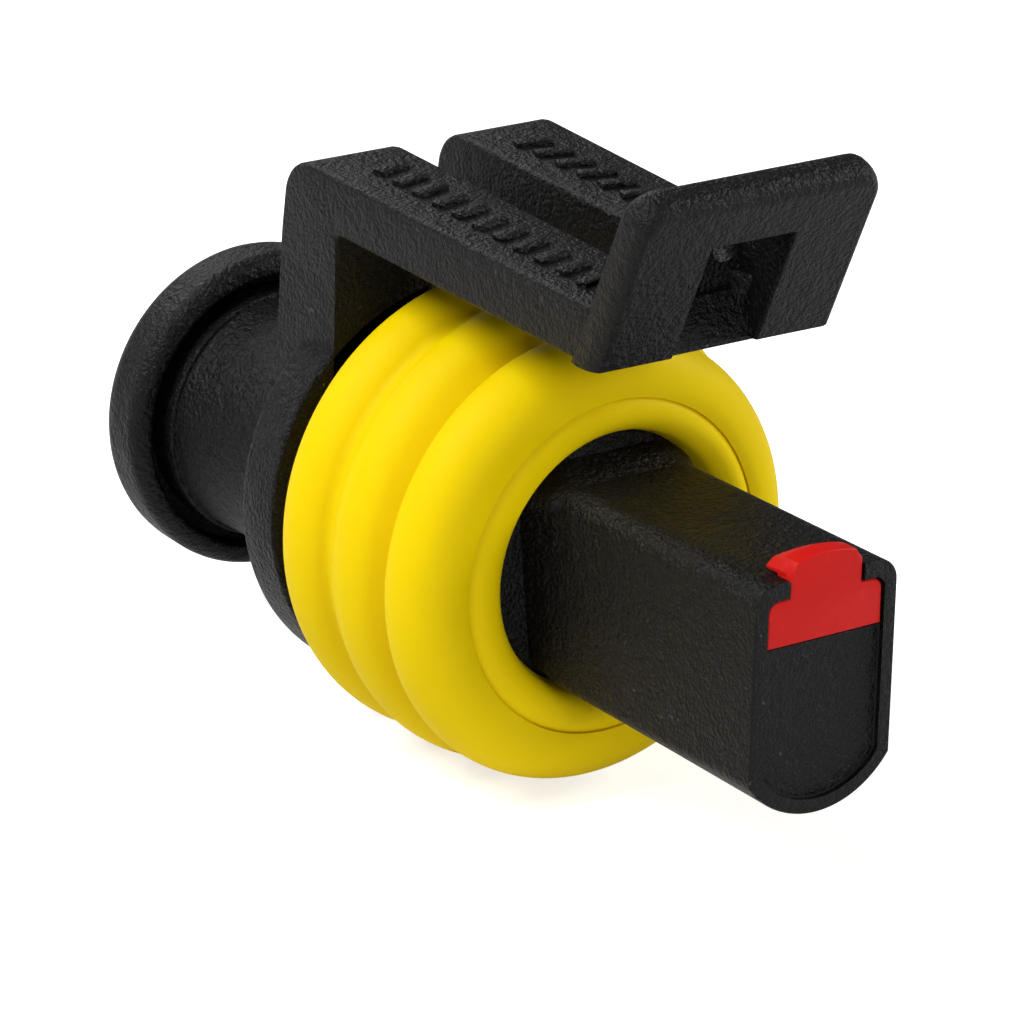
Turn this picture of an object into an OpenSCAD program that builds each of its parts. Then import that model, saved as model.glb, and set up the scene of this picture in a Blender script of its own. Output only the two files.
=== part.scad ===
// Sealed one-way automotive plug: a round-flanged black housing with a ribbed seal,
// a flexing latch over it, and a red lock in the tip of its mating nose.
//
// Frame: X runs forward to the nose tip, Y to the plug's left and Z up to the latch.
// The origin lies on the seal's axis, in the flange's front face.

/* [Flange and seal spigot] */
// Radius of the flange that the header stops against
flange_r = 8.5; // [8.2:0.1:9.2]
// Thickness of the flange
flange_t = 2.2; // [1.8:0.1:3]
// Radius of the spigot that carries the interface seal
spigot_r = 5.1; // [4.9:0.1:5.6]
// Length of the spigot in front of the flange
spigot_len = 10; // [9.6:0.1:10.3]
// Chamfer round the spigot's front face
spigot_chamfer = 0.35; // [0.1:0.05:0.6]

/* [Neck and rear bell] */
// Height of the wire's axis over the seal's axis
wire_z = -1; // [-1.4:0.1:-0.6]
// Radius of the neck behind the flange
neck_r = 5.05; // [4.8:0.05:5.4]
// Length of the neck, flange to bell rim
neck_len = 11; // [10:0.2:13]
// Length of the low ring on the neck beside the bell
neck_ring_len = 0.8; // [0.4:0.1:1.4]
// Height of that ring over the neck
neck_ring_h = 0.2; // [0.1:0.05:0.3]
// Outer radius of the bell
bell_r = 6.65; // [6.4:0.05:7.2]
// Thickness of the bell's rim
bell_t = 2.55; // [2.3:0.05:3.2]
// Radius of the rim's rounded edges
bell_round = 1.1; // [0.8:0.05:1.15]
// Depth of the dish in the bell's front face
bell_dish = 0.7; // [0.3:0.1:1]
// Outer radius of that dish
dish_r = 5.75; // [5.6:0.05:5.9]
// Radius of the bore that the wire seal fills
seal_bore_r = 3.4; // [3.2:0.05:3.7]
// Radius of the funnel's mouth in the rear face
mouth_r = 4.9; // [4.4:0.1:5.2]
// Depth of that funnel
mouth_depth = 1.8; // [1:0.1:2.2]

/* [Mating nose] */
// Distance from the flange's front face to the nose tip
nose_tip = 23.4; // [22.6:0.1:25]
// Width of the nose
nose_w = 6.5; // [6.3:0.1:6.8]
// Height of the nose's flat top over the seal's axis
nose_top = 3.8; // [3.7:0.1:4]
// Depth of the nose's underside below the seal's axis, at the tip
nose_low = 5.55; // [5.2:0.05:5.7]
// Radius of the nose's rounded underside
nose_round = 4; // [3.6:0.1:4.4]
// Radius of the nose's two long top edges
nose_edge = 0.9; // [0.5:0.1:1.2]
// Wall round the nose's front face
nose_wall = 0.58; // [0.5:0.02:0.7]
// How far that face lies behind the tip
face_set = 0.2; // [0.1:0.05:0.3]
// Width of the fine groove round the face
groove_w = 0.09; // [0.06:0.01:0.12]
// Depth of that groove
groove_depth = 0.4; // [0.2:0.1:0.6]

/* [Contact chamber] */
// Width and height of the contact chamber
chamber_w = 3.1; // [3:0.05:3.4]
// Thickness of the wall that closes the chamber in front
front_wall = 1; // [0.8:0.1:1.4]
// Radius of the passage between the wire seal and the chamber
passage_r = 2.6; // [2.4:0.1:2.8]
// Distance from the nose tip back to the lance's tip
lance_set = 4.6; // [4.4:0.1:5.5]
// Length of the lance that holds the contact
lance_len = 6; // [5:0.5:7]
// Width of the lance
lance_w = 1.6; // [1.4:0.1:1.8]
// Thickness of the lance
lance_t = 0.45; // [0.35:0.05:0.55]
// Length of the hook under the lance's tip
hook_len = 1.2; // [0.8:0.1:1.5]
// Play round the lance and behind its tip
lance_play = 0.3; // [0.2:0.05:0.4]

/* [Latch] */
// Distance from the flange's front face back to the posts' rear face
post_depth = 3.5; // [3:0.1:4]
// Height at which the posts begin to flex
post_root_z = 9; // [8.8:0.1:9.6]
// How low the posts' roots reach behind the flange
post_foot_z = 4.6; // [4.4:0.1:5.4]
// Half the latch's width over the posts
latch_half = 5.8; // [5.6:0.1:6.2]
// Half the slot between the two arms
slot_half = 1.35; // [1.2:0.05:1.6]
// Height of the arms' upper face over the posts' rear
arm_top_z = 13.45; // [13.3:0.05:14]
// Thickness of the arms
arm_t = 2.28; // [2:0.05:2.4]
// Angle at which the arms run down to the front
arm_drop = 2.5; // [1:0.25:3]
// Radius of the arms' rear top corner
arm_corner = 1.7; // [1:0.1:2]
// Radius of the corner between post and arm
post_fillet = 0.35; // [0.2:0.05:0.6]

/* [Latch plate] */
// Distance from the flange's front face to the plate's lower front edge
plate_x = 16.3; // [15.6:0.1:17]
// Height of the plate's lower edge
plate_z = 10.2; // [10:0.05:10.3]
// Half the plate's width
plate_half = 5.45; // [5.2:0.05:5.6]
// Length of the plate along its slope
plate_len = 7.45; // [7:0.05:8.5]
// Thickness of the plate
plate_t = 1.6; // [1.4:0.05:1.8]
// Angle at which the plate leans forward
plate_lean = 24; // [18:1:28]
// Radius of the plate's top edge
plate_round = 0.7; // [0.4:0.05:0.75]
// Radius of the plate's upper corners
plate_corner = 1.1; // [0.6:0.1:1.4]
// Half the width of the catch window
window_half = 1.9; // [1.75:0.05:2.1]
// Height of the window along the slope
window_len = 5.15; // [4.8:0.05:5.6]
// How far the catch pocket's back wall lies behind the plate's lower front edge
pocket_depth = 1.3; // [1.2:0.05:1.6]
// Thickness of the pocket's walls
pocket_wall = 0.7; // [0.5:0.05:0.9]
// Height of the pocket's walls over the plate's lower edge
pocket_h = 4.3; // [4.2:0.1:4.4]
// Height of the catch ramp over the plate's lower edge
ramp_h = 1.75; // [1.5:0.05:2]
// How far the ramp's toe lies behind the plate's face
ramp_set = 0.2; // [0.15:0.05:0.4]
// Radius of the small hole in the pocket's back wall
peep_r = 0.55; // [0.4:0.05:0.6]

/* [Grip bars on the arms] */
// Number of raised bars on each arm
bar_count = 11; // [6:1:12]
// Distance from one bar to the next
bar_pitch = 1.35; // [1.1:0.05:1.4]
// Length of a bar
bar_len = 1.6; // [1.2:0.1:2]
// Width of a bar
bar_w = 0.6; // [0.3:0.05:0.7]
// Height of a bar over the arm
bar_h = 0.2; // [0.1:0.02:0.35]
// Slant of the bars from straight across
bar_slant = 15; // [0:5:30]

/* [Interface seal] */
// Radius over the seal's ribs
seal_r = 9.4; // [9.2:0.05:9.6]
// Radius of each rib's round section
rib_round = 1.7; // [1.68:0.01:1.8]
// Distance from one rib to the next
rib_pitch = 3.35; // [3.25:0.05:3.36]
// Number of ribs
rib_count = 3; // [3:1:3]
// Distance from the flange to the first rib
rib_start = 2.65; // [2.5:0.05:2.7]
// How much lower the front rib stands than the others
rib_lead = 0.25; // [0:0.05:0.5]
// Radius of the seal's rear end against the flange
seal_heel_r = 7; // [6.6:0.1:7.6]
// Radius of the round section of the seal's front lip
lip_round = 0.85; // [0.7:0.05:0.9]
// Distance from the flange to the middle of that lip
lip_x = 10.25; // [10.1:0.05:10.3]

/* [Red lock] */
// Width of the lock's base
lock_w = 5.2; // [5:0.05:5.25]
// Height of the base's lower edge
lock_low_z = 1.3; // [1.25:0.05:1.5]
// Height of the base's shoulders
lock_shoulder_z = 3.1; // [3:0.05:3.12]
// Radius of those shoulders
lock_round = 0.45; // [0.2:0.05:0.6]
// Thickness of the lock's base and stem, front to back
lock_t = 0.8; // [0.7:0.05:1]
// Width of the stem and of the head on it
stem_w = 3.3; // [3:0.05:3.5]
// Distance from the lock's face back to the head's rear lip
head_len = 1.45; // [1.3:0.05:1.8]
// Height of the head's front edges over the nose's top
head_edge_h = 0.35; // [0.3:0.05:0.6]
// Radius of the head's arched top
head_arch = 2.9; // [2.8:0.1:5]
// Thickness of the head's rear lip
head_lip = 0.35; // [0.25:0.05:0.5]
// Length of the finger behind the base
finger_len = 7.5; // [7:0.1:8]
// Width of the finger
finger_w = 2.4; // [2:0.1:2.6]
// Thickness of the finger
finger_t = 1; // [0.8:0.05:1.1]
// Running clearance round the lock
lock_gap = 0.06; // [0.04:0.01:0.08]
// How far the lock's face lies behind the nose tip
lock_set = 0.08; // [0:0.02:0.15]

/* [Wire seal] */
// Radius of the wire's hole
wire_r = 0.9; // [0.7:0.05:1.1]
// Distance from the flange's front face back to the seal's rear end
wire_seal_rear = 11.6; // [11:0.1:12.4]
// Length of the seal's ribbed body
wire_seal_len = 6.6; // [6:0.1:7]
// Radius of the seal's body between its ribs
wire_seal_root_r = 2.9; // [2.6:0.05:3.1]
// Radius of the seal's round ribs
wire_rib_round = 0.6; // [0.5:0.05:0.7]
// Radius of the sleeve that the contact is crimped on
sleeve_r = 1.75; // [1.5:0.05:1.9]
// Length of that sleeve
sleeve_len = 2.6; // [2.2:0.1:3]

/* [Contact] */
// Width and height of the contact's receptacle
box_w = 2.7; // [2.5:0.05:2.9]
// Length of the receptacle
box_len = 13; // [10:0.5:14]
// Thickness of the contact's strip
strip_t = 0.25; // [0.2:0.01:0.32]
// Gap under the roof that the blade enters
blade_gap = 0.8; // [0.6:0.05:1]
// Width of the spring inside the receptacle
spring_w = 1.5; // [1:0.1:1.8]
// Length of that spring
spring_len = 6; // [5:0.5:7]
// Length of each crimp
crimp_len = 2; // [1.6:0.1:2.2]
// Width of the strip between the receptacle and the crimps
web_w = 1; // [0.8:0.1:1.4]
// Width of the gap that each crimp leaves on top
crimp_gap = 0.5; // [0.3:0.05:0.8]

/* [Hidden] */

$fn = 96;
// Overlap that joins solids, and the overrun of a cut past a face
eps = 0.02;
over = 1;
black = [0.05, 0.05, 0.055];

bell_front = -flange_t - neck_len;
bell_rear = bell_front - bell_t;
web_front = bell_front - bell_dish;
nose_face = nose_tip - face_set;
chamber_half = chamber_w / 2;
chamber_top = wire_z + chamber_half;
chamber_tip = nose_face - front_wall;
chamber_start = -flange_t / 2;
wire_bore_end = -wire_seal_rear + wire_seal_len;
finger_z = (lock_low_z + lock_shoulder_z - finger_t) / 2;
lock_face = nose_tip - lock_set;
lock_back = lock_face - lock_t;
lance_tip = nose_tip - lance_set;
lance_root = lance_tip - lance_len;
lance_z = finger_z - lock_gap - lance_play - lance_t;
arm_slope = tan(arm_drop);
arm_end = plate_x - pocket_depth + 0.7;
pocket_back = plate_x - pocket_depth;
rib_ring_r = seal_r - rib_round;
lip_ring_r = spigot_r + 0.1 + lip_round;
rib_last = rib_start + (rib_count - 1) * rib_pitch;
peep_y = window_half - peep_r - 0.05;
peep_z = plate_z + pocket_h - pocket_wall / 2 - peep_r - 0.1;
bar_y = (slot_half + latch_half) / 2 - 0.25;
bar_shift = 0.03;
box_front = chamber_tip - 0.1;
box_back = box_front - box_len;
sleeve_front = wire_bore_end + sleeve_len;
core_crimp_r = box_w / 2 - strip_t;
core_crimp_back = sleeve_front + 0.8;
head_z = nose_top + lock_gap;
hook_z = wire_z + box_w / 2 - strip_t + 0.05;

// Revolves a profile, drawn as radius against distance, about an axis along X.
module turned(z = 0) {
    translate([0, 0, z]) rotate([0, 90, 0]) rotate_extrude() children();
}

// A plain bar of the profile's rectangle: radius 0 to r, between two stations.
module land(r, from, to) {
    translate([0, from]) square([r, to - from]);
}

// Extrudes a profile, drawn as Y against Z, forward between two stations.
module forward(from, to) {
    translate([from, 0, 0]) rotate([90, 0, 90]) linear_extrude(to - from) children();
}

// Extrudes a profile, drawn as X against Z, across Y between two sides.
module across(right, left) {
    translate([0, left, 0]) rotate([90, 0, 0]) linear_extrude(left - right) children();
}

module both_sides() {
    children();
    mirror([0, 1, 0]) children();
}

// The nose's section, or the same section drawn in by a wall.
module nose_section(inset = 0) {
    w = nose_w / 2 - inset;
    top = nose_top - inset;
    edge = max(nose_edge - inset, 0.3);
    mid = nose_round - nose_low;
    intersection() {
        translate([0, mid]) circle(nose_round - inset);
        translate([-w, -nose_low]) square([2 * w, nose_low]);
    }
    translate([-w, mid]) square([2 * w, top - edge - mid]);
    translate([edge - w, mid]) square([2 * (w - edge), top - mid]);
    for (side = [-1, 1]) translate([side * (w - edge), top - edge]) circle(edge);
}

// The nose, whose underside falls away from the seal's mouth to the tip.
module nose() {
    intersection() {
        forward(spigot_len - eps, nose_tip) nose_section();
        turned() polygon([
            [0, spigot_len - over],
            [spigot_r - eps, spigot_len - over],
            [spigot_r - eps, lip_x + lip_round + 0.1],
            [nose_low + 0.1, nose_tip],
            [nose_low + 0.1, nose_tip + over],
            [0, nose_tip + over]
        ]);
    }
}

// The lock's front outline: a base with round shoulders under a stem.
module lock_outline(gap = 0) {
    w = lock_w / 2 + gap;
    low = lock_low_z - gap;
    high = lock_shoulder_z + gap;
    translate([-w, low]) square([2 * w, high - low - lock_round]);
    translate([lock_round - w, low]) square([2 * (w - lock_round), high - low]);
    for (side = [-1, 1])
        translate([side * (w - lock_round), high - lock_round]) circle(lock_round);
}

module lock_finger(gap = 0) {
    translate([-finger_w / 2 - gap, finger_z - gap])
        square([finger_w + 2 * gap, finger_t + 2 * gap]);
}

module post_foot() {
    both_sides() translate([-post_depth, slot_half, post_foot_z])
        cube([post_depth, latch_half - slot_half, post_root_z - post_foot_z]);
}

module bell() {
    turned(wire_z) difference() {
        union() {
            land(bell_r - bell_round, bell_rear, bell_front);
            translate([bell_r - 2 * bell_round, bell_rear + bell_round])
                square([2 * bell_round, bell_t - 2 * bell_round]);
            for (x = [bell_rear + bell_round, bell_front - bell_round])
                translate([bell_r - bell_round, x]) circle(bell_round);
        }
        translate([neck_r / 2, web_front]) square([dish_r - neck_r / 2, 2 * bell_dish]);
    }
}

module neck() {
    turned(wire_z) {
        land(neck_r, web_front - eps, -flange_t + eps);
        land(neck_r + neck_ring_h, web_front - eps, bell_front + neck_ring_len);
    }
}

module spigot() {
    turned() polygon([
        [0, -eps],
        [spigot_r, -eps],
        [spigot_r, spigot_len - spigot_chamfer],
        [spigot_r - spigot_chamfer, spigot_len],
        [0, spigot_len]
    ]);
}

// Everything that is open inside the housing behind the contact's chamber.
module wire_passage() {
    turned(wire_z) {
        land(seal_bore_r, bell_rear - over, wire_bore_end);
        land(passage_r, wire_bore_end - eps, chamber_start);
        polygon([
            [0, bell_rear],
            [mouth_r, bell_rear],
            [seal_bore_r, bell_rear + mouth_depth],
            [0, bell_rear + mouth_depth]
        ]);
    }
}

// The chamber and the room round the lance, with the lance left standing in it.
module contact_chamber() {
    difference() {
        union() {
            forward(chamber_start - eps, chamber_tip)
                translate([-chamber_half, wire_z - chamber_half]) square(chamber_w);
            forward(lance_root, lance_tip + 2 * lance_play)
                translate([-lance_w / 2 - lance_play, chamber_top - eps])
                    square([lance_w + 2 * lance_play, finger_z - chamber_top + 2 * eps]);
        }
        lance();
    }
}

module lance() {
    across(-lance_w / 2, lance_w / 2) polygon([
        [lance_root - eps, lance_z],
        [lance_root - eps, lance_z + lance_t],
        [lance_tip, lance_z + lance_t],
        [lance_tip, hook_z],
        [lance_tip - hook_len / 3, hook_z],
        [lance_tip - hook_len, lance_z]
    ]);
}

module lock_room() {
    forward(lock_back - lock_gap, nose_tip + over) lock_outline(lock_gap);
    forward(lock_back - finger_len - lock_gap, nose_tip) lock_finger(lock_gap);
    forward(lock_back - lock_gap, nose_tip + over)
        translate([-stem_w / 2 - lock_gap, lock_shoulder_z])
            square([stem_w + 2 * lock_gap, nose_top]);
}

module face_recess() {
    forward(nose_face, nose_tip + over) intersection() {
        nose_section(nose_wall);
        translate([-nose_w, -nose_low])
            square([2 * nose_w, nose_low + lock_shoulder_z]);
    }
    forward(nose_face - groove_depth, nose_tip) difference() {
        nose_section(nose_wall);
        nose_section(nose_wall + groove_w);
        translate([-nose_w, lock_low_z]) square([2 * nose_w, nose_top]);
    }
}

module housing() {
    color(black) difference() {
        union() {
            turned() land(flange_r, -flange_t, 0);
            neck();
            bell();
            spigot();
            nose();
            post_foot();
        }
        wire_passage();
        contact_chamber();
        lock_room();
        face_recess();
    }
}

// Height of the arms' upper face, and of their lower face, at a station.
function arm_top(x) = arm_top_z - (x + post_depth) * arm_slope;
function arm_low(x) = arm_top(x) - arm_t;

// Side view of post and arm, from the post's rear face forward into the plate.
module arm_side() {
    corner_x = arm_corner - post_depth;
    corner_z = arm_top(corner_x) - arm_corner / cos(arm_drop);
    fillet_z = arm_low(post_fillet) - post_fillet;
    translate([corner_x, corner_z]) circle(arm_corner);
    polygon([
        [-post_depth, post_root_z],
        [-post_depth, corner_z],
        [corner_x + arm_corner * sin(arm_drop), corner_z + arm_corner * cos(arm_drop)],
        [arm_end, arm_top(arm_end)],
        [arm_end, arm_low(arm_end)],
        [0, arm_low(0)],
        [0, post_root_z]
    ]);
    difference() {
        translate([-eps, fillet_z]) square([post_fillet + eps, post_fillet + arm_t / 2]);
        translate([post_fillet, fillet_z]) circle(post_fillet);
    }
}

// Plan of one arm, which narrows from the post to the plate.
module arm_plan() {
    linear_extrude(arm_top_z + over) polygon([
        [-post_depth, slot_half],
        [-post_depth, latch_half],
        [arm_end, plate_half - 0.1],
        [arm_end, slot_half]
    ]);
}

module arms() {
    both_sides() intersection() {
        across(0, latch_half + over) arm_side();
        arm_plan();
    }
}

// Places things drawn on the plate: X is forward through it and Z runs up its slope.
module on_plate() {
    translate([plate_x, 0, plate_z]) rotate([0, plate_lean, 0]) children();
}

// The plate's section, with a round top edge.
module plate_side() {
    translate([-plate_t, -over]) square([plate_t, plate_len - plate_round + over]);
    translate([plate_round - plate_t, 0]) square([plate_t - 2 * plate_round, plate_len]);
    for (x = [-plate_round, plate_round - plate_t])
        translate([x, plate_len - plate_round]) circle(plate_round);
}

// The plate's face, with round upper corners.
module plate_face() {
    w = plate_half;
    translate([-w, -over]) square([2 * w, plate_len - plate_corner + over]);
    translate([plate_corner - w, 0]) square([2 * (w - plate_corner), plate_len]);
    for (side = [-1, 1])
        translate([side * (w - plate_corner), plate_len - plate_corner])
            circle(plate_corner);
}

module plate() {
    difference() {
        on_plate() difference() {
            intersection() {
                across(-plate_half, plate_half) plate_side();
                forward(-plate_t - over, over) plate_face();
            }
            across(-window_half, window_half) translate([-plate_t - over, -2 * over])
                square([plate_t + 2 * over, window_len + 2 * over]);
        }
        translate([plate_x - 2 * plate_t, -2 * plate_half, plate_z - 2 * over])
            cube([3 * plate_t, 4 * plate_half, 2 * over]);
    }
}

// Cheeks and back wall behind the window, round the pocket that takes the catch.
module pocket() {
    half = window_half + pocket_wall;
    rise = pocket_h * tan(plate_lean);
    wall_x = pocket_back - pocket_wall;
    both_sides() across(window_half, half) polygon([
        [wall_x, plate_z],
        [wall_x, plate_z + pocket_h - pocket_wall / 2],
        [pocket_back, plate_z + pocket_h],
        [plate_x + rise - plate_t / 2, plate_z + pocket_h],
        [plate_x - plate_t / 2, plate_z]
    ]);
    across(-half, half) polygon([
        [wall_x, plate_z],
        [wall_x, plate_z + pocket_h - pocket_wall / 2],
        [pocket_back, plate_z + pocket_h],
        [pocket_back, plate_z]
    ]);
}

// The ramp under the window, which rides over the header's catch.
module ramp() {
    across(-window_half - eps, window_half + eps) polygon([
        [pocket_back - eps, plate_z],
        [pocket_back - eps, plate_z + ramp_h],
        [pocket_back + pocket_wall, plate_z + ramp_h],
        [plate_x - ramp_set, plate_z + ramp_set],
        [plate_x - ramp_set, plate_z]
    ]);
}

module grip_bars() {
    mid = (arm_end + arm_corner - post_depth) / 2;
    first = mid - bar_pitch * (bar_count - 1) / 2;
    both_sides() for (i = [0 : bar_count - 1])
        translate([first + i * bar_pitch, bar_y + i * bar_shift, arm_top(first + i * bar_pitch)])
            rotate([0, arm_drop, 0]) rotate([0, 0, -bar_slant])
                cube([bar_w, bar_len, 2 * bar_h], center = true);
}

module latch() {
    color(black) {
        difference() {
            union() {
                arms();
                plate();
                pocket();
            }
            translate([pocket_back, -window_half, plate_z - over])
                cube([plate_t, 2 * window_half, arm_t + 2 * over]);
            translate([pocket_back - pocket_wall - over, peep_y, peep_z])
                rotate([0, 90, 0]) cylinder(r = peep_r, h = pocket_wall + 2 * over);
        }
        ramp();
        grip_bars();
    }
}

module interface_seal() {
    color("gold") turned() difference() {
        union() {
            land(seal_heel_r, 0, rib_start);
            land(rib_ring_r, rib_start, rib_last);
            land(lip_ring_r + lip_round / 2, rib_last, lip_x);
            for (i = [0 : rib_count - 2])
                translate([rib_ring_r, rib_start + i * rib_pitch]) circle(rib_round);
            translate([rib_ring_r - rib_lead, rib_last]) circle(rib_round);
            translate([lip_ring_r, lip_x]) circle(lip_round);
        }
        land(spigot_r, -over, lip_x + 2 * lip_round);
    }
}

// The lock's head: an arched wedge that thins to a lip behind.
module lock_head() {
    head_back = lock_face - head_len;
    arch_z = head_z + head_edge_h - sqrt(pow(head_arch, 2) - pow(stem_w / 2, 2));
    intersection() {
        forward(head_back, lock_face) intersection() {
            translate([-stem_w / 2, head_z]) square([stem_w, head_arch]);
            translate([0, arch_z]) circle(head_arch);
        }
        across(-stem_w, stem_w) polygon([
            [head_back - over, head_z],
            [head_back, head_z + head_lip],
            [lock_face, arch_z + head_arch],
            [lock_face + over, head_z]
        ]);
    }
}

module secondary_lock() {
    color("red") {
        forward(lock_back, lock_face) {
            lock_outline();
            translate([-stem_w / 2, lock_shoulder_z - lock_round])
                square([stem_w, head_z - lock_shoulder_z + lock_round + eps]);
        }
        forward(lock_back - finger_len, lock_back + eps) lock_finger();
        lock_head();
    }
}

module wire_seal() {
    rib_x = [wire_rib_round, wire_seal_len / 2, wire_seal_len - wire_rib_round];
    color("darkgreen") turned(wire_z) difference() {
        union() {
            land(wire_seal_root_r, -wire_seal_rear, wire_bore_end);
            for (x = rib_x)
                translate([seal_bore_r - wire_rib_round, x - wire_seal_rear])
                    circle(wire_rib_round);
            land(sleeve_r, wire_bore_end - eps, sleeve_front);
        }
        land(wire_r, -wire_seal_rear - over, sleeve_front + over);
    }
}

// A crimp: a round barrel with a gap along its top.
module crimp(r, from) {
    difference() {
        turned(wire_z) difference() {
            land(r + strip_t, from, from + crimp_len);
            land(r, from - over, from + crimp_len + over);
        }
        translate([from - over, -crimp_gap / 2, wire_z])
            cube([crimp_len + 2 * over, crimp_gap, 2 * r]);
    }
}

// The receptacle: a square tube, open for the lance's hook, with a spring on its floor.
module receptacle() {
    low = wire_z - box_w / 2;
    crest = wire_z + box_w / 2 - strip_t - blade_gap;
    difference() {
        forward(box_back, box_front) difference() {
            translate([-box_w / 2, low]) square(box_w);
            translate([strip_t - box_w / 2, low + strip_t]) square(box_w - 2 * strip_t);
        }
        translate([lance_tip - hook_len - 0.3, -lance_w / 2 - 0.15, wire_z])
            cube([hook_len + 0.4, lance_w + 0.3, box_w]);
    }
    across(-spring_w / 2, spring_w / 2) polygon([
        [box_front - 0.5, low],
        [box_front - spring_len / 2, crest - strip_t],
        [box_front - spring_len, low],
        [box_front - spring_len, low + strip_t],
        [box_front - spring_len / 2, crest],
        [box_front - 0.5, low + strip_t]
    ]);
}

// The strip that runs from the receptacle back to the sleeve's crimp.
module web() {
    low = wire_z - box_w / 2;
    drop = wire_z - sleeve_r - strip_t;
    across(-web_w / 2, web_w / 2) polygon([
        [box_back + eps, low],
        [core_crimp_back, low],
        [sleeve_front, drop],
        [sleeve_front - 0.2, drop],
        [sleeve_front - 0.2, drop + strip_t],
        [sleeve_front + 0.1, drop + strip_t],
        [core_crimp_back + 0.1, low + strip_t],
        [box_back + eps, low + strip_t]
    ]);
}

module contact() {
    color("silver") {
        crimp(sleeve_r, sleeve_front - crimp_len);
        crimp(core_crimp_r, core_crimp_back);
        web();
        receptacle();
    }
}

housing();
latch();
interface_seal();
secondary_lock();
wire_seal();
contact();
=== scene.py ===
import math

import bmesh
import bpy
from mathutils import Matrix, Vector


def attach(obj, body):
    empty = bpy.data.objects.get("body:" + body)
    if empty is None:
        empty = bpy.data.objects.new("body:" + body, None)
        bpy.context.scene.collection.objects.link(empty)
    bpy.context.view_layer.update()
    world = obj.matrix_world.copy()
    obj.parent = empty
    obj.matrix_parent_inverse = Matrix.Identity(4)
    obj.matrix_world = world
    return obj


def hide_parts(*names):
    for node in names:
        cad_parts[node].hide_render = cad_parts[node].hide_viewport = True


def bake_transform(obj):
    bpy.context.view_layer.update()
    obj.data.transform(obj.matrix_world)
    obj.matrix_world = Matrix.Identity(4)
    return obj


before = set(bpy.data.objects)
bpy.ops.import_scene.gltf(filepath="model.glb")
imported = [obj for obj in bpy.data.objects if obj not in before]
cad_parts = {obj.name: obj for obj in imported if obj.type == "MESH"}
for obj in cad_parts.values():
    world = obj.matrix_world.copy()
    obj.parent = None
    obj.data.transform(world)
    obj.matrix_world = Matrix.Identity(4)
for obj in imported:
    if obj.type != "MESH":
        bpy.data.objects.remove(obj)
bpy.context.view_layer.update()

MM = 0.001


# ---------------------------------------------------------------- camera and studio
# A long lens looks down at the nose from its front right. The plug lies over a white
# sweep, between a large softbox on the upper left and weaker ones above and behind.

azimuth, elevation, roll = (math.radians(a) for a in (35.956, 20.613, 1.397))
eye = Vector((165.47, -117.137, 74.962)) * MM

back = Vector((math.cos(elevation) * math.cos(azimuth),
               -math.cos(elevation) * math.sin(azimuth),
               math.sin(elevation)))
level = (-back).cross(Vector((0, 0, 1))).normalized()
upright = level.cross(-back)
right = level * math.cos(roll) + upright * math.sin(roll)
up = upright * math.cos(roll) - level * math.sin(roll)

camera = bpy.data.objects.new("camera", bpy.data.cameras.new("camera"))
bpy.context.collection.objects.link(camera)
camera.matrix_world = Matrix((
    (right.x, up.x, back.x, eye.x),
    (right.y, up.y, back.y, eye.y),
    (right.z, up.z, back.z, eye.z),
    (0, 0, 0, 1)))
camera.data.sensor_width = 36
camera.data.lens = 5500 / 1024 * 36
camera.data.clip_start = 0.01
camera.data.clip_end = 20
bpy.context.scene.camera = camera
bpy.context.scene.view_settings.view_transform = "Standard"


def softbox(name, place, size, power, aim=(0, 0, 0), colour=(1, 1, 1)):
    """An area light at a place in millimetres, turned to face a point."""
    light = bpy.data.lights.new(name, "AREA")
    light.shape = "RECTANGLE"
    light.size, light.size_y = size[0] * MM, size[1] * MM
    light.energy = power
    light.color = colour
    lamp = bpy.data.objects.new(name, light)
    bpy.context.collection.objects.link(lamp)
    lamp.location = Vector(place) * MM
    lamp.rotation_euler = (Vector(place) - Vector(aim)).to_track_quat("Z", "Y").to_euler()


softbox("key", (-60, -230, 300), (260, 200), 1.55)
softbox("front", (330, -60, 120), (160, 200), 0.34)
softbox("rear", (-320, 60, 190), (220, 160), 0.35)
softbox("side", (120, 330, 160), (200, 160), 0.75)


class Value:
    """A node socket that takes part in Python arithmetic."""

    def __init__(self, tree, socket):
        self.tree, self.socket = tree, socket

    def maths(self, operation, *terms):
        return self.tree.node("ShaderNodeMath", {"operation": operation}, *terms)

    def __add__(self, other):
        return self.maths("ADD", self, other)

    def __sub__(self, other):
        return self.maths("SUBTRACT", self, other)

    def __rsub__(self, other):
        return self.maths("SUBTRACT", other, self)

    def __mul__(self, other):
        return self.maths("MULTIPLY", self, other)

    __radd__, __rmul__ = __add__, __mul__


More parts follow.
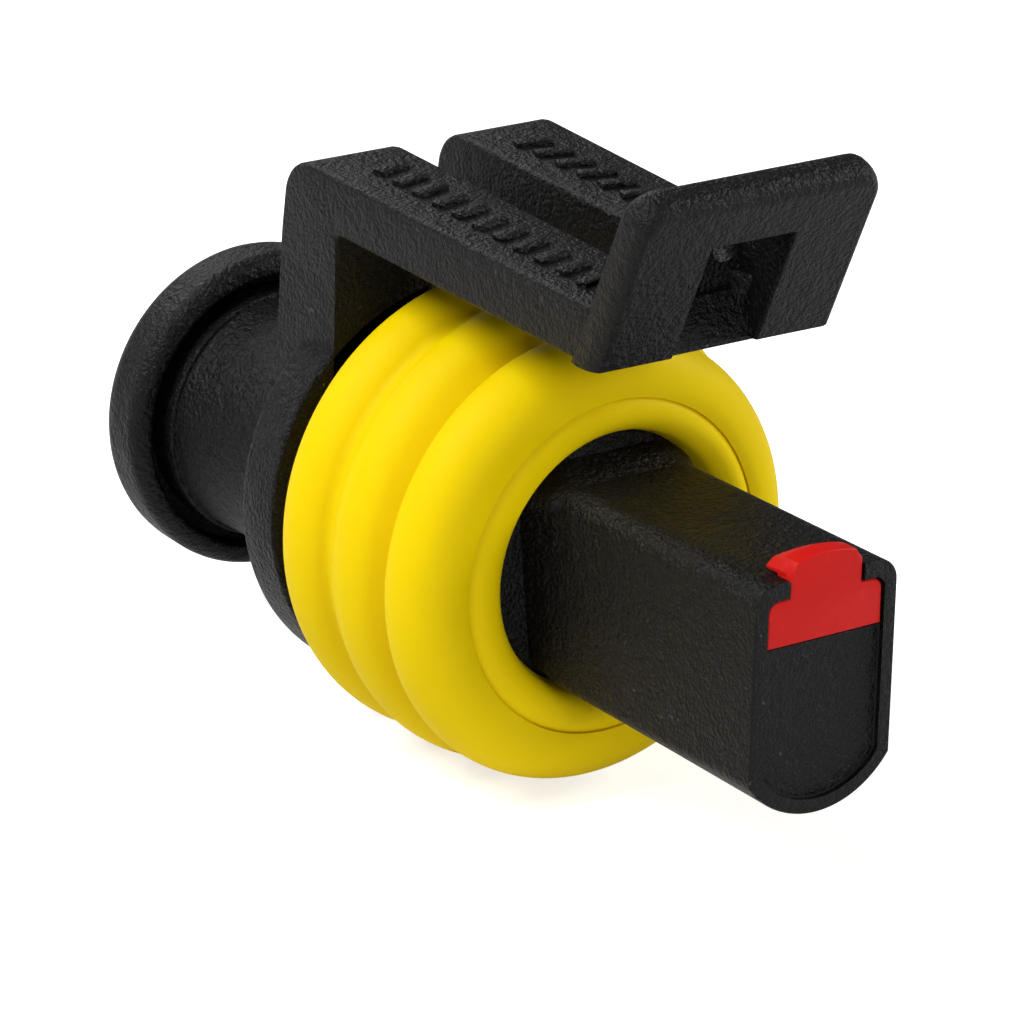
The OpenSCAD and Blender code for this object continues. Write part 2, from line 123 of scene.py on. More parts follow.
class Tree:
    """A material's nodes: node() adds one, and shader() sets the Principled sockets."""

    def __init__(self, material):
        material.use_nodes = True
        self.nodes, self.links = material.node_tree.nodes, material.node_tree.links
        self.nodes.clear()
        self.output = self.nodes.new("ShaderNodeOutputMaterial")

    def put(self, socket, value):
        if isinstance(value, Value):
            self.links.new(value.socket, socket)
        elif value is not None:
            socket.default_value = value

    def node(self, kind, settings=None, *inputs, out=0, **named):
        made = self.nodes.new(kind)
        for key, value in (settings or {}).items():
            if key == "stops":
                ramp = made.color_ramp.elements
                while len(ramp) < len(value):
                    ramp.new(0.5)
                for stop, (place, colour) in zip(ramp, value):
                    stop.position = place
                    stop.color = (*colour, 1)
            else:
                setattr(made, key, value)
        for socket, value in zip(made.inputs, inputs):
            self.put(socket, value)
        for key, value in named.items():
            self.put(made.inputs[key.replace("_", " ")], value)
        return Value(self, made.outputs[out])

    def noise(self, scale, detail=3.0, roughness=0.55, stretch=(1, 1, 1), distortion=0.0):
        place = self.node("ShaderNodeTexCoord", out=3)
        if stretch != (1, 1, 1):
            place = self.node("ShaderNodeMapping", None, Vector=place, Scale=stretch)
        return self.node("ShaderNodeTexNoise", None, Vector=place, Scale=scale,
                         Detail=detail, Roughness=roughness, Distortion=distortion)

    def ramp(self, factor, *stops):
        return self.node("ShaderNodeValToRGB", {"stops": [
            (place, (grey, grey, grey) if isinstance(grey, (int, float)) else grey)
            for place, grey in stops]}, factor)

    def blend(self, factor, first, second):
        made = self.nodes.new("ShaderNodeMix")
        made.data_type = "RGBA"
        for index, value in ((0, factor), (6, first), (7, second)):
            if isinstance(value, tuple):
                value = (*value, 1)
            self.put(made.inputs[index], value)
        return Value(self, made.outputs[2])

    def bump(self, height, distance, strength=1.0, normal=None):
        return self.node("ShaderNodeBump", None, Strength=strength, Distance=distance,
                         Height=height, Normal=normal)

    def shader(self, **sockets):
        made = self.nodes.new("ShaderNodeBsdfPrincipled")
        for key, value in sockets.items():
            socket = made.inputs[key.replace("_", " ")]
            if isinstance(value, tuple) and len(socket.default_value) == 4:
                value = (*value, 1)
            self.put(socket, value)
        self.links.new(made.outputs[0], self.output.inputs[0])
        return made


def material(name):
    made = bpy.data.materials.new(name)
    return made, Tree(made)


def piece(name, mesh, finish, body=None, smooth=35):
    """Finishes a bmesh drawn in millimetres as one object at the origin."""
    bmesh.ops.remove_doubles(mesh, verts=mesh.verts, dist=0.0005)
    bmesh.ops.recalc_face_normals(mesh, faces=mesh.faces)
    bmesh.ops.scale(mesh, vec=(MM, MM, MM), verts=mesh.verts)
    data = bpy.data.meshes.new(name)
    mesh.to_mesh(data)
    mesh.free()
    data.materials.append(finish)
    data.shade_smooth()
    data.set_sharp_from_angle(angle=math.radians(smooth))
    made = bpy.data.objects.new(name, data)
    bpy.context.collection.objects.link(made)
    if body:
        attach(made, body)
    return made


# The sweep is plain white paper. It keeps a faint shadow, and it looks white.
paper, tree = material("white_paper")
seen = tree.node("ShaderNodeLightPath")
lit = tree.nodes.new("ShaderNodeBsdfDiffuse")
lit.inputs[0].default_value = (0.8, 0.8, 0.8, 1)
glow = tree.nodes.new("ShaderNodeEmission")
tree.put(glow.inputs[1], seen * 0.67)
both = tree.nodes.new("ShaderNodeAddShader")
tree.links.new(lit.outputs[0], both.inputs[0])
tree.links.new(glow.outputs[0], both.inputs[1])
tree.links.new(both.outputs[0], tree.output.inputs[0])

sweep = bmesh.new()
bmesh.ops.create_grid(sweep, x_segments=1, y_segments=1, size=3)
bmesh.ops.translate(sweep, vec=(0, 0, -9.6 * MM), verts=sweep.verts)
sheet = bpy.data.meshes.new("sweep")
sweep.to_mesh(sheet)
sheet.materials.append(paper)
floor = bpy.data.objects.new("sweep", sheet)
bpy.context.collection.objects.link(floor)

world = bpy.data.worlds.new("studio")
bpy.context.scene.world = world
world.use_nodes = True
sky = world.node_tree
sky.nodes.clear()
path = sky.nodes.new("ShaderNodeLightPath")
white = sky.nodes.new("ShaderNodeBackground")
dim = sky.nodes.new("ShaderNodeBackground")
dim.inputs[1].default_value = 0.09
choose = sky.nodes.new("ShaderNodeMixShader")
end = sky.nodes.new("ShaderNodeOutputWorld")
white.inputs[0].default_value = dim.inputs[0].default_value = (1, 1, 1, 1)
sky.links.new(path.outputs[0], choose.inputs[0])
sky.links.new(dim.outputs[0], choose.inputs[1])
sky.links.new(white.outputs[0], choose.inputs[2])
sky.links.new(choose.outputs[0], end.inputs[0])


# ---------------------------------------------------------------- rear sleeve
# The neck and bell behind the flange, moulded in one with the rest of the housing in
# black glass-filled nylon. The wire leaves through the bell's funnel.

def black_nylon(name, grain, sheen, scuffs):
    """Spark-eroded black nylon: a fine pebble, cloudy sheen and a few pale scuffs."""
    made, tree = material(name)
    pebble = tree.noise(5200, detail=2.5, roughness=0.6)
    coarse = tree.noise(1500, detail=3, roughness=0.55)
    cloud = tree.noise(260, detail=4, roughness=0.6)
    flow = tree.noise(520, detail=3, stretch=(0.3, 1, 1), distortion=0.6)
    flecks = tree.ramp(tree.noise(2300, detail=1.5), (0.0, 0.0), (0.705, 0.0), (0.76, 1.0))
    patches = tree.ramp(cloud, (0.0, 0.0), (0.5, 0.0), (0.68, 1.0))
    scuff = flecks * patches * scuffs
    base = tree.blend(cloud, (0.0022, 0.0021, 0.0022), (0.0048, 0.0046, 0.0046))
    worn = tree.blend(scuff, base, (0.2, 0.195, 0.19))
    rough = cloud * 0.14 + flow * 0.08 + (sheen - 0.2)
    height = pebble * 0.6 + coarse * 0.55
    tree.shader(Base_Color=worn, Roughness=rough + scuff * 0.15,
                Normal=tree.bump(height, 0.00024 * grain, 1.0), Specular_IOR_Level=0.19)
    return made


nylon = black_nylon("black_nylon", 1.0, 0.5, 0.5)


def turned(mesh, points, axis_z=0.0, steps=192):
    """Spins a closed outline of (station, radius) points about an axis along X."""
    ring = [mesh.verts.new((x, 0, axis_z + r)) for x, r in points]
    rim = [mesh.edges.new(pair) for pair in zip(ring, ring[1:] + ring[:1])]
    bmesh.ops.spin(mesh, geom=ring + rim, cent=(0, 0, axis_z), axis=(1, 0, 0),
                   angle=math.tau, steps=steps, use_merge=True)
    bmesh.ops.remove_doubles(mesh, verts=mesh.verts, dist=0.0005)


def at_ring(mesh, x, r, axis_z=0.0, slack=0.02):
    """The edges of the ring at a station and radius."""
    def on(v):
        return (abs(v.co.x - x) < slack
                and abs(math.hypot(v.co.y, v.co.z - axis_z) - r) < slack)
    return [e for e in mesh.edges if on(e.verts[0]) and on(e.verts[1])]


def soften(mesh, edges, width, segments=3):
    bmesh.ops.bevel(mesh, geom=list(edges), offset=width, segments=segments,
                    profile=0.5, affect="EDGES", material=-1, clamp_overlap=True)


wire_z = -1.0
neck_r, step_r = 5.05, 5.25
bell_rear, bell_front, bell_r, rim_r = -15.75, -12.8, 6.65, 6.74
dish_x, dish_r = -13.9, 5.85

sleeve = bmesh.new()
turned(sleeve, [
    (-2.1, 3.0), (-2.1, neck_r), (-12.4, neck_r), (-12.4, step_r), (dish_x, step_r),
    (dish_x, dish_r), (bell_front, dish_r), (bell_front, rim_r), (bell_rear, bell_r),
    (bell_rear, 4.9), (-13.95, 3.4), (-5.0, 3.4), (-5.0, 3.0)], wire_z)
soften(sleeve, at_ring(sleeve, bell_rear, bell_r, wire_z), 1.1, 8)
soften(sleeve, at_ring(sleeve, bell_front, rim_r, wire_z), 0.68, 7)
soften(sleeve, at_ring(sleeve, bell_front, dish_r, wire_z), 0.17, 4)
soften(sleeve, at_ring(sleeve, dish_x, dish_r, wire_z), 0.15, 3)
soften(sleeve, at_ring(sleeve, -12.4, step_r, wire_z), 0.1, 3)
soften(sleeve, at_ring(sleeve, -12.4, neck_r, wire_z), 0.08, 2)
soften(sleeve, at_ring(sleeve, bell_rear, 4.9, wire_z), 0.3, 4)
soften(sleeve, at_ring(sleeve, -13.95, 3.4, wire_z), 0.3, 3)
rear_sleeve = piece("rear_sleeve", sleeve, nylon, "housing")


# ---------------------------------------------------------------- flange and spigot
# The round flange that stops the header, and the spigot that the ring seal is pushed
# over. Both are part of the black housing moulding.

worn_nylon = black_nylon("worn_black_nylon", 1.4, 0.46, 1.6)

flange_r, flange_t = 8.5, 2.2
spigot_r, spigot_x = 5.1, 10.0

flange = bmesh.new()
turned(flange, [
    (-flange_t, 3.2), (-flange_t, flange_r), (0, flange_r), (0, spigot_r),
    (spigot_x, spigot_r), (spigot_x, 3.6), (6.0, 3.2)])
soften(flange, at_ring(flange, -flange_t, flange_r), 0.22, 4)
soften(flange, at_ring(flange, 0, flange_r), 0.16, 3)
soften(flange, at_ring(flange, spigot_x, spigot_r), 0.35, 2)
flange_piece = piece("flange", flange, worn_nylon, "housing")


# ---------------------------------------------------------------- mating nose
# The keyed nose that enters the header: a flat-topped, round-bottomed black beam with
# a thin rim round its closed tip, and the pocket in its top that the red lock fills.

nose_base, nose_tip = 9.6, 23.4
nose_half, nose_top, nose_edge = 3.25, 3.8, 0.9
nose_low, nose_round = 5.55, 4.0
rim, face_set, groove = 0.58, 0.2, 0.09


def nose_outline(inset=0.0):
    """Points round the nose's section, from one top edge clockwise to the other."""
    half, top = nose_half - inset, nose_top - inset
    edge = max(nose_edge - inset, 0.3)
    mid = nose_round - nose_low
    radius = nose_round - inset
    points = [(half - edge + edge * math.sin(a), top - edge + edge * math.cos(a))
              for a in (math.radians(9 * i) for i in range(11))]
    corner = math.asin(half / radius)
    points += [(radius * math.sin(a), mid - radius * math.cos(a))
               for a in (corner * (1 - i / 20) for i in range(41))]
    points += [(-y, z) for y, z in reversed(points[:11])]
    return points


def nose_ring(mesh, x, inset=0.0, limit=99.0):
    """One loop of the section at a station, held inside a radius about the axis."""
    loop = []
    for y, z in nose_outline(inset):
        reach = math.hypot(y, z)
        held = min(1.0, limit / reach)
        loop.append(mesh.verts.new((x, y if z > 0 else y * held, z * held)))
    return loop


def closed(mesh, loop):
    return [mesh.edges.new(pair) for pair in zip(loop, loop[1:] + loop[:1])]


nose = bmesh.new()
root_len, root_grow, root_r = 1.5, 0.8, 4.85
stations = [(nose_base, -root_grow, root_r), (spigot_x, -root_grow, root_r),
            (spigot_x + root_len, 0, 5.1), (nose_tip, 0, 5.65)]
rings = [closed(nose, nose_ring(nose, x, grow, limit)) for x, grow, limit in stations]
for first, second in zip(rings, rings[1:]):
    bmesh.ops.bridge_loops(nose, edges=first + second)
for ring in (rings[0], rings[-1]):
    bmesh.ops.contextual_create(nose, geom=ring)
tip = [e for e in nose.edges if all(abs(v.co.x - nose_tip) < 1e-4 for v in e.verts)]
soften(nose, tip, 0.1, 3)
long_corners = [e for e in nose.edges
                if abs(e.verts[0].co.x - e.verts[1].co.x) > 5
                and all(v.co.z < 0 for v in e.verts)
                and e.is_manifold and e.calc_face_angle(0) > math.radians(20)]
soften(nose, long_corners, 0.35, 4)


def cut(target, *cutters):
    """Cuts solid meshes away from an object."""
    for cutter in cutters:
        bmesh.ops.recalc_face_normals(cutter, faces=cutter.faces)
        bmesh.ops.scale(cutter, vec=(MM, MM, MM), verts=cutter.verts)
        data = bpy.data.meshes.new("cutter")
        cutter.to_mesh(data)
        cutter.free()
        tool = bpy.data.objects.new("cutter", data)
        bpy.context.collection.objects.link(tool)
        take = target.modifiers.new("cut", "BOOLEAN")
        take.object = tool
        take.operation = "DIFFERENCE"
        take.solver = "EXACT"
        bpy.context.view_layer.update()
        shape = bpy.data.meshes.new_from_object(
            target.evaluated_get(bpy.context.evaluated_depsgraph_get()))
        target.modifiers.clear()
        target.data = shape
        bpy.data.objects.remove(tool)


def block(low, high):
    """A box between two corners, as its own mesh."""
    made = bmesh.new()
    bmesh.ops.create_cube(made, size=1)
    low, high = Vector(low), Vector(high)
    bmesh.ops.scale(made, vec=high - low, verts=made.verts)
    bmesh.ops.translate(made, vec=(low + high) / 2, verts=made.verts)
    return made


def recess(inset, depth_x, out_x, top):
    """A cutter of the nose's section, cut off level at a height."""
    made = bmesh.new()
    loops = [closed(made, nose_ring(made, x, inset)) for x in (depth_x, out_x)]
    bmesh.ops.bridge_loops(made, edges=loops[0] + loops[1])
    for loop in loops:
        bmesh.ops.contextual_create(made, geom=loop)
    found = bmesh.ops.bisect_plane(
        made, geom=made.verts[:] + made.edges[:] + made.faces[:],
        plane_co=(0, 0, top), plane_no=(0, 0, 1), clear_outer=True)
    rim_edges = [e for e in found["geom_cut"] if isinstance(e, bmesh.types.BMEdge)]
    bmesh.ops.contextual_create(made, geom=rim_edges)
    return made


lock_w, lock_low, lock_shoulder, lock_round = 5.2, 1.3, 3.1, 0.45
stem_w, lock_t, lock_set, lock_gap = 3.3, 0.8, 0.08, 0.06
lock_face = nose_tip - lock_set
lock_back = lock_face - lock_t


def lock_plate(gap, back_x, front_x):
    """The lock's base: a plate with two round shoulders."""
    made = block((back_x, -lock_w / 2 - gap, lock_low - gap),
                 (front_x, lock_w / 2 + gap, lock_shoulder + gap))
    shoulders = [e for e in made.edges
                 if all(v.co.z > lock_shoulder for v in e.verts)
                 and abs(e.verts[0].co.x - e.verts[1].co.x) > 0.1]
    soften(made, shoulders, lock_round, 6)
    return made


nose_piece = piece("nose", nose, nylon)
cut(nose_piece,
    recess(rim, nose_tip - face_set, nose_tip + 1, lock_shoulder - 0.2),
    lock_plate(lock_gap, lock_back - lock_gap, nose_tip + 1),
    block((lock_back - lock_gap, -stem_w / 2 - lock_gap, lock_shoulder - 0.3),
          (nose_tip + 1, stem_w / 2 + lock_gap, nose_top + 1)))
nose_piece.data.shade_smooth()
nose_piece.data.set_sharp_from_angle(angle=math.radians(18))
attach(nose_piece, "housing")

# The fine groove where the closed tip meets its rim: its shade is painted as a thin
# near-black inlay.
seam = bmesh.new()
outer = closed(seam, nose_ring(seam, nose_tip - face_set + 0.004, rim))
inner = closed(seam, nose_ring(seam, nose_tip - face_set + 0.004, rim + groove))
bmesh.ops.bridge_loops(seam, edges=outer + inner)
bmesh.ops.bisect_plane(seam, geom=seam.verts[:] + seam.edges[:] + seam.faces[:],
                       plane_co=(0, 0, lock_low - lock_gap), plane_no=(0, 0, 1),
                       clear_outer=True)
gap_black, tree = material("seam_shadow")
tree.shader(Base_Color=(0.002, 0.002, 0.002), Roughness=tree.noise(900) * 0.2 + 0.7)
nose_seam = piece("nose_seam", seam, gap_black, "housing")


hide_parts("housing")


# ---------------------------------------------------------------- latch
# Two arms on flexing posts carry a forward-leaning plate with the catch window. Posts
# and arms are one with the housing.

post_back, post_front, post_foot = -3.5, 0.0, 4.6
slot_half, latch_half, plate_half = 1.35, 5.8, 5.45
arm_z, arm_t, arm_slope = 13.45, 2.28, math.tan(math.radians(2.5))
plate_x, plate_z, plate_len, plate_t = 16.3, 10.2, 7.45, 1.6
lean = math.radians(24)
window_half, window_len = 1.9, 5.15
pocket_x, pocket_wall, pocket_h = 15.0, 0.7, 4.3
ramp_h, peep_r = 1.75, 0.55
arm_end = 15.7


def arm_height(x):
    return arm_z - (x - post_back) * arm_slope


def outer_side(x):
    share = (x - post_back) / (arm_end - post_back)
    return latch_half + (plate_half - 0.1 - latch_half) * share


arm = bmesh.new()
side = [(post_back, post_foot), (post_back, arm_z),
        (arm_end + 0.4, arm_height(arm_end + 0.4)),
        (arm_end - 0.6, arm_height(arm_end - 0.6) - arm_t),
        (post_front, arm_height(post_front) - arm_t), (post_front, post_foot)]
face = arm.faces.new([arm.verts.new((x, slot_half, z)) for x, z in side])
grown = bmesh.ops.extrude_face_region(arm, geom=[face])["geom"]
for v in (g for g in grown if isinstance(g, bmesh.types.BMVert)):
    v.co.y = outer_side(v.co.x)


def across_at(mesh, x, z):
    """The edge that runs across Y at a place in the side view."""
    return [e for e in mesh.edges
            if all(abs(v.co.x - x) < 0.01 and abs(v.co.z - z) < 0.01 for v in e.verts)]


soften(arm, across_at(arm, post_back, arm_z), 1.7, 10)
soften(arm, across_at(arm, post_front, arm_height(0) - arm_t), 0.35, 5)
sharp = [e for e in arm.edges if e.calc_face_angle(0) > math.radians(50)
         and all(v.co.z > post_foot + 0.1 for v in e.verts)
         and not all(v.co.x > 15 for v in e.verts)]
soften(arm, sharp, 0.2, 3)
bmesh.ops.bisect_plane(arm, geom=arm.verts[:] + arm.edges[:] + arm.faces[:],
                       plane_co=(pocket_x - 0.1, 0, 0), plane_no=(1, 0, 0))
for v in arm.verts:
    if v.co.x > pocket_x and v.co.y < 2.1:
        v.co.y = window_half + 0.05 + (v.co.y - slot_half) * 0.5
for z in (6.4, 7.0, 7.5, 8.0, 8.5, 9.0, 9.5, 10.0, 10.5):
    bmesh.ops.bisect_plane(arm, geom=arm.verts[:] + arm.edges[:] + arm.faces[:],
                           plane_co=(0, 0, z), plane_no=(0, 0, 1))
# The posts' rear faces have draft: they stand further back at the foot.
for v in arm.verts:
    if v.co.x < post_back + 0.25:
        v.co.x -= 0.4 * min(max((12 - v.co.z) / 7.4, 0), 1)
twin = bmesh.ops.duplicate(arm, geom=arm.verts[:] + arm.edges[:] + arm.faces[:])
twin_verts = [g for g in twin["geom"] if isinstance(g, bmesh.types.BMVert)]
bmesh.ops.scale(arm, vec=(1, -1, 1), verts=twin_verts)
arms = piece("latch_arms", arm, nylon)

# The plate is drawn upright in layers from its front to its back, whose outlines
# shrink towards both faces, then leant forward and cut off level at its foot.
front_round, back_round, corner = 0.7, 0.7, 1.25


def plate_layer(mesh, depth, inset, notch):
    """One outline of the plate, at a depth behind its front face."""
    side, top = plate_half - 0.5 * inset, plate_len - inset
    bend = corner - inset
    swing = [math.radians(11.25 * i) for i in range(9)]
    right_arc = [(side - bend + bend * math.cos(a), top - bend + bend * math.sin(a))
                 for a in swing]
    left_arc = [(-y, z) for y, z in reversed(right_arc)]
    c, top_c = window_half + notch, window_len + notch
    points = ([(side, -1)] + right_arc + left_arc + [(-side, -1), (-c, -1), (-c, top_c),
              (c, top_c), (c, -1)])
    return [mesh.verts.new((-depth, y, z)) for y, z in points]


flat_band = 0.08
plate = bmesh.new()
layers = [(0, front_round + flat_band, 0.1)]
for i in range(9):
    a = math.pi / 2 * i / 8
    layers.append((front_round * (1 - math.cos(a)), front_round * (1 - math.sin(a)),
                   0.06 * max(0, 1 - i / 3)))
for i in range(6):
    a = math.pi / 2 * i / 5
    layers.append((plate_t - back_round * (1 - math.sin(a)),
                   back_round * (1 - math.cos(a)), 0))
layers.append((plate_t, back_round + flat_band, 0))
loops = [plate_layer(plate, depth, inset, notch) for depth, inset, notch in layers]
for first, second in zip(loops, loops[1:]):
    for i in range(len(first)):
        j = (i + 1) % len(first)
        plate.faces.new((first[i], first[j], second[j], second[i]))
for loop in (loops[0], loops[-1]):
    plate.faces.new(loop)
bmesh.ops.rotate(plate, verts=plate.verts, cent=(0, 0, 0),
                 matrix=Matrix.Rotation(lean, 3, "Y"))
bmesh.ops.translate(plate, vec=(plate_x, 0, plate_z), verts=plate.verts)
bmesh.ops.bisect_plane(plate, geom=plate.verts[:] + plate.edges[:] + plate.faces[:],
                       plane_co=(0, 0, plate_z), plane_no=(0, 0, 1), clear_inner=True)
open_rim = [e for e in plate.edges if e.is_boundary]
bmesh.ops.holes_fill(plate, edges=open_rim, sides=0)
base_rim = [e for e in plate.edges
            if all(abs(v.co.z - plate_z) < 0.001 for v in e.verts)
            and e.calc_face_angle(0) > math.radians(30)]
soften(plate, base_rim, 0.12, 3)
latch_plate = piece("latch_plate", plate, nylon, "latch")

# The pocket behind the window: two cheeks, a back wall with its hole, and the ramp.
pocket = bmesh.new()


def wedge(mesh, low_y, high_y, points):
    """A prism across Y from its side view."""
    face = mesh.faces.new([mesh.verts.new((x, low_y, z)) for x, z in points])
    grown = bmesh.ops.extrude_face_region(mesh, geom=[face])["geom"]
    for v in (g for g in grown if isinstance(g, bmesh.types.BMVert)):
        v.co.y = high_y


rise = pocket_h * math.tan(lean)
wall_x = pocket_x - pocket_wall
half = window_half + pocket_wall
inner = window_half + 0.012
for low_y, high_y in ((-half, -inner), (inner, half)):
    wedge(pocket, low_y, high_y, [
        (pocket_x - 0.01, plate_z), (pocket_x - 0.01, plate_z + pocket_h),
        (plate_x + rise - 0.8, plate_z + pocket_h), (plate_x - 0.8, plate_z)])
wedge(pocket, -window_half - 0.02, window_half + 0.02, [
    (pocket_x - 0.02, plate_z), (pocket_x - 0.02, plate_z + ramp_h),
    (pocket_x + 0.3, plate_z + ramp_h), (plate_x - 0.2, plate_z + 0.15),
    (plate_x - 0.2, plate_z)])
catch_pocket = piece("catch_pocket", pocket, worn_nylon, "latch", 25)

wall = bmesh.new()
wedge(wall, -half, half, [
    (wall_x, plate_z), (wall_x, plate_z + pocket_h - 0.35),
    (wall_x + 0.35, plate_z + pocket_h), (pocket_x, plate_z + pocket_h),
    (pocket_x, plate_z)])
pocket_wall_piece = piece("pocket_wall", wall, worn_nylon)
hole = bmesh.new()
bmesh.ops.create_cone(hole, cap_ends=True, segments=48, radius1=peep_r, radius2=peep_r,
                      depth=3)
bmesh.ops.rotate(hole, verts=hole.verts, matrix=Matrix.Rotation(math.pi / 2, 3, "Y"))
bmesh.ops.translate(hole, vec=(wall_x, window_half - 0.6, plate_z + pocket_h - 1.0),
                    verts=hole.verts)
cut(pocket_wall_piece, hole)
pocket_wall_piece.data.shade_smooth()
pocket_wall_piece.data.set_sharp_from_angle(angle=math.radians(25))
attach(pocket_wall_piece, "latch")

# Low grip bars on the arms, each a small rounded block.
bars = bmesh.new()
bar_pitch, bar_count = 1.35, 11
first_x = (arm_end + 1.7 + post_back) / 2 - bar_pitch * (bar_count - 1) / 2
for index in range(bar_count):
    x = first_x + index * bar_pitch
    for hand in (1, -1):
        new = bmesh.ops.create_cube(bars, size=1)["verts"]
        bmesh.ops.scale(bars, vec=(0.6, 1.6, 0.4), verts=new)
        edges = {e for v in new for e in v.link_edges}
        made = bmesh.ops.bevel(bars, geom=list(edges), offset=0.12, segments=2,
                               profile=0.5, affect="EDGES", material=-1)["verts"]
        bmesh.ops.rotate(bars, verts=made,
                         matrix=Matrix.Rotation(math.radians(-15 * hand), 3, "Z"))
        bmesh.ops.rotate(bars, verts=made, matrix=Matrix.Rotation(math.radians(2.5), 3, "Y"))
        y = hand * ((slot_half + latch_half) / 2 - 0.25 + 0.03 * index)
        bmesh.ops.translate(bars, vec=(x, y, arm_height(x)), verts=made)
grip_bars = piece("grip_bars", bars, nylon, "latch")

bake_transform(arms)
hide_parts("latch")


# ---------------------------------------------------------------- interface seal
# A yellow silicone ring with three round ribs and a lip round its front mouth,
# moulded in one and stretched over the spigot against the flange.

seal_bore, rib_ring, rib_r = 5.1, 7.7, 1.7
rib_x = (2.65, 6.0, 9.35)
rib_lead = 0.5
lip_x, lip_ring, lip_r = 10.25, 6.05, 0.85


def arc(points, x, r, radius, start, stop, steps):
    """Adds an arc to an outline; angles run from +X towards larger radii."""
    for i in range(steps + 1):
        a = math.radians(start + (stop - start) * i / steps)
        points.append((x + radius * math.cos(a), r + radius * math.sin(a)))


seal = bmesh.new()
outline = [(0.02, seal_bore), (0.02, 7.0), (1.0, 7.0)]
arc(outline, rib_x[0], rib_ring, rib_r, 190, 36, 22)
arc(outline, rib_x[1], rib_ring, rib_r, 144, 36, 20)
arc(outline, rib_x[2], rib_ring - rib_lead, rib_r, 148, -18, 24)
arc(outline, lip_x, lip_ring, lip_r, 50, -86, 14)
outline.append((lip_x - 0.2, seal_bore))
turned(seal, outline, steps=220)
# The soft front rib leans a little to one side, as such a seal does once handled.
for v in seal.verts:
    radius = math.hypot(v.co.y, v.co.z)
    forward = min(max((v.co.x - 7.4) / 1.6, 0), 1)
    outward = min(max((radius - 5.6) / 1.8, 0), 1)
    v.co.y -= 0.45 * forward * forward * (3 - 2 * forward) * outward


silicone, tree = material("yellow_silicone")
haze = tree.noise(170, detail=4, roughness=0.6)
fine = tree.noise(2600, detail=2)
streak = tree.noise(420, detail=3, stretch=(2.2, 0.5, 0.5))
tint = tree.blend(haze, (0.80, 0.57, 0.0004), (0.88, 0.65, 0.0008))
tree.shader(Base_Color=tint, Roughness=haze * 0.12 + streak * 0.08 + 0.42,
            Normal=tree.bump(fine * 0.5 + streak * 0.6, 0.00002, 0.6),
            Subsurface_Weight=0.12, Subsurface_Radius=(0.9, 0.5, 0.05),
            Subsurface_Scale=0.0012, Specular_IOR_Level=0.06)
ring_seal = piece("ring_seal", seal, silicone, "housing", smooth=60)
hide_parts("interface_seal")


# ---------------------------------------------------------------- red lock
# A red nylon plate pushed into the nose's tip, with an arched thumb edge on top. Its
# finger runs back over the contact's lance, inside the nose.

head_low, head_len = 3.86, 1.45


def prism_x(mesh, points, back_x, front_x):
    """A prism along X from its front view."""
    face = mesh.faces.new([mesh.verts.new((front_x, y, z)) for y, z in points])
    grown = bmesh.ops.extrude_face_region(mesh, geom=[face])["geom"]
    for v in (g for g in grown if isinstance(g, bmesh.types.BMVert)):
        v.co.x = back_x


half_base, half_stem = lock_w / 2, stem_w / 2
shoulder = [(half_base - lock_round + lock_round * math.cos(math.radians(a)),
             lock_shoulder - lock_round + lock_round * math.sin(math.radians(a)))
            for a in range(0, 91, 15)]
arch_r, arch_top, arch_corner = 4.6, 4.62, 0.3
arch_mid = arch_top - arch_r
head_end = half_stem - arch_corner
arch = [(half_stem, 4.0)]
arch += [(arch_r * math.sin(a), arch_mid + arch_r * math.cos(a))
         for a in (math.asin(head_end / arch_r) * (1 - i / 6) for i in range(13))]
half_front = [(half_base, lock_low)] + shoulder + [(half_stem, lock_shoulder)]
front_view = half_front + arch + [(-half_stem, 4.0)] + [
    (-y, z) for y, z in reversed(half_front)]
lock = bmesh.new()
prism_x(lock, front_view, lock_back, lock_face)
rim_edges = [e for e in lock.edges
             if all(abs(v.co.x - lock_face) < 1e-4 for v in e.verts)]
soften(lock, rim_edges, 0.09, 3)
red, tree = material("red_nylon")
mottle = tree.noise(420, detail=4, roughness=0.62)
pore = tree.noise(4200, detail=2)
pale = tree.ramp(tree.noise(1300, detail=2), (0.0, 0.0), (0.62, 0.0), (0.8, 1.0))
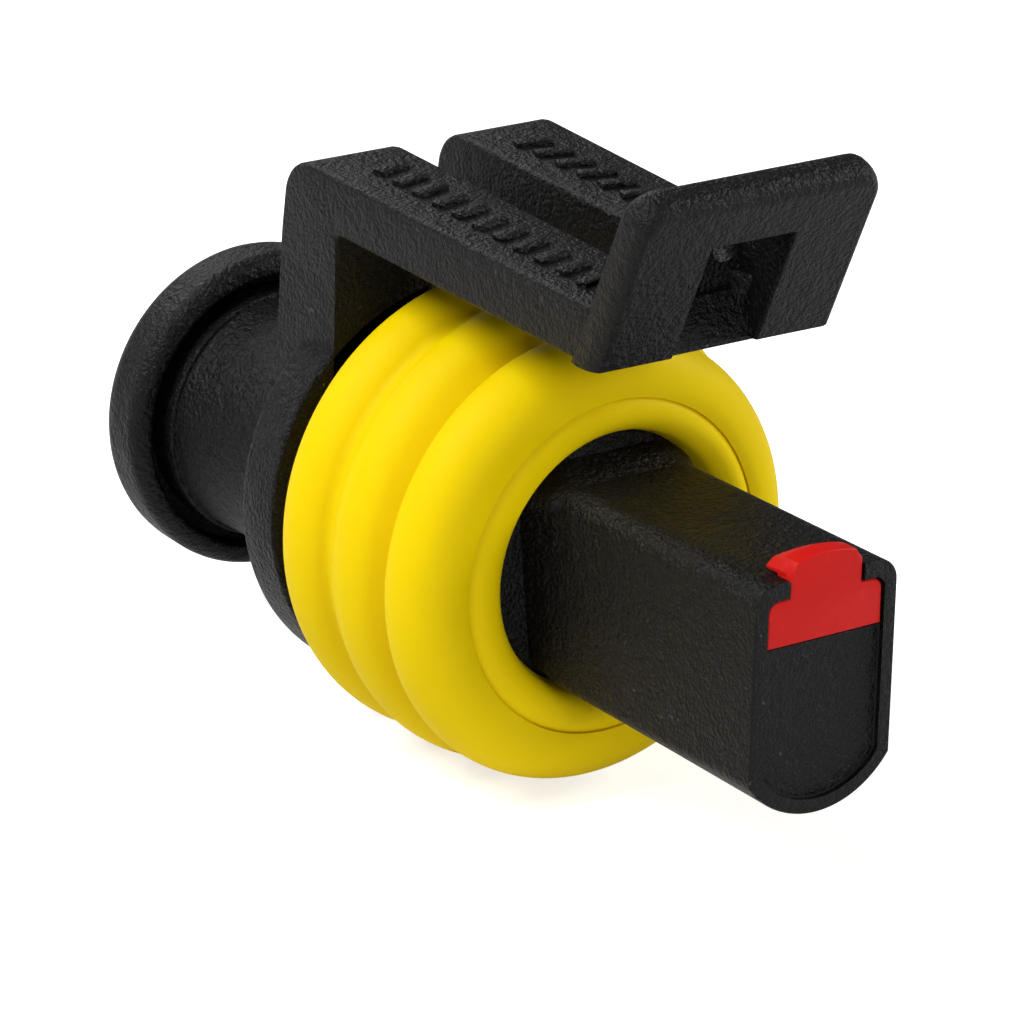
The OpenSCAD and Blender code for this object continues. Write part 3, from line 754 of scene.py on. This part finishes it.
paint = tree.blend(mottle, (0.50, 0.006, 0.004), (0.66, 0.010, 0.007))
tree.shader(Base_Color=tree.blend(pale * 0.16, paint, (0.74, 0.09, 0.07)),
            Roughness=mottle * 0.16 + 0.34, Specular_IOR_Level=0.16,
            Normal=tree.bump(pore * 0.6 + mottle * 0.5, 0.00003, 0.8))
lock_base = piece("lock_plate", lock, red, "secondary_lock")

# The head's rear lip reaches back over the nose's top, thinner than the head.
lip = bmesh.new()
lip_back = lock_face - head_len
lip_half = half_stem + 0.004
prism_x(lip, [(lip_half, head_low), (lip_half, 4.0)] + arch[1:]
        + [(-lip_half, 4.0), (-lip_half, head_low)], lip_back, lock_face - 0.3)
for v in lip.verts:
    if v.co.x < lip_back + 0.01:
        v.co.z = head_low + (v.co.z - head_low) * 0.62
lock_head = piece("lock_head", lip, red, "secondary_lock")

finger = block((lock_back - 7.5, -1.2, 1.7), (lock_back + 0.1, 1.2, 2.7))
soften(finger, finger.edges[:], 0.08, 2)
lock_finger = piece("lock_finger", finger, red, "secondary_lock")
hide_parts("secondary_lock")


# ---------------------------------------------------------------- wire seal, contact
# Seen only up the bell: a ribbed pale silicone plug on the wire's way, and behind it
# the tinned contact. Both keep their solids and get their own finish.

pale_silicone, tree = material("pale_silicone")
haze = tree.noise(300, detail=4)
tree.shader(Base_Color=tree.blend(haze, (0.55, 0.53, 0.48), (0.66, 0.64, 0.58)),
            Roughness=haze * 0.15 + 0.35,
            Normal=tree.bump(tree.noise(2400, detail=2), 0.00002, 0.6))
tin, tree = material("tinned_strip")
cloud = tree.noise(500, detail=3)
brush = tree.noise(2600, detail=2, stretch=(0.08, 1, 1))
tree.shader(Base_Color=tree.blend(cloud, (0.70, 0.70, 0.68), (0.80, 0.80, 0.78)),
            Metallic=1.0, Roughness=cloud * 0.12 + 0.22,
            Normal=tree.bump(brush, 0.00001, 0.6))
for node, finish in (("wire_seal", pale_silicone), ("contact", tin)):
    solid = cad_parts[node]
    solid.data.materials.clear()
    solid.data.materials.append(finish)
